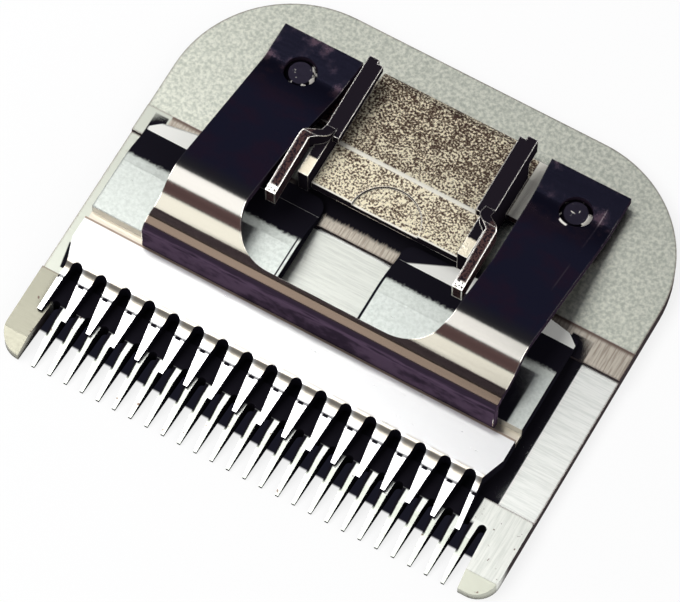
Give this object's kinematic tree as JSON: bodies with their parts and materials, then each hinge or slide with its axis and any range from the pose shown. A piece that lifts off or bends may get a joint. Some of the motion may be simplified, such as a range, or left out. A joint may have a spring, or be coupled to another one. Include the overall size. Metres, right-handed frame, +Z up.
{
  "type": "hair clipper blade",
  "caption": "Detachable hair clipper blade: a toothed comb plate with a sliding toothed cutter held down by a bent two-armed spring, and a folded hinge socket at the rear.",
  "frame": {"origin": "centre of the comb's skin side, under the middle of the bounding box", "axes": "+X along the row of teeth, +Y from the tooth tips to the rear edge, +Z up from the skin side"},
  "size_m": [0.0494, 0.0432, 0.009],
  "materials": {
    "comb_steel": "ground",
    "cutter_steel": "fine ground",
    "spring_steel": "blued, polished",
    "socket_steel": "blasted leaf, blackened ears",
    "screw_steel": "blackened"
  },
  "bodies": {
    "comb_assembly": {"comb": "comb_steel", "tension_spring": "spring_steel", "socket": "socket_steel", "screws": "screw_steel"},
    "cutter": {"cutter": "cutter_steel"}
  },
  "joints": [
    {"name": "cutter_slide", "type": "slide", "parent": "comb_assembly", "child": "cutter", "axis": [1, 0, 0], "range_m": [-0.0004, 0.0038]}
  ]
}
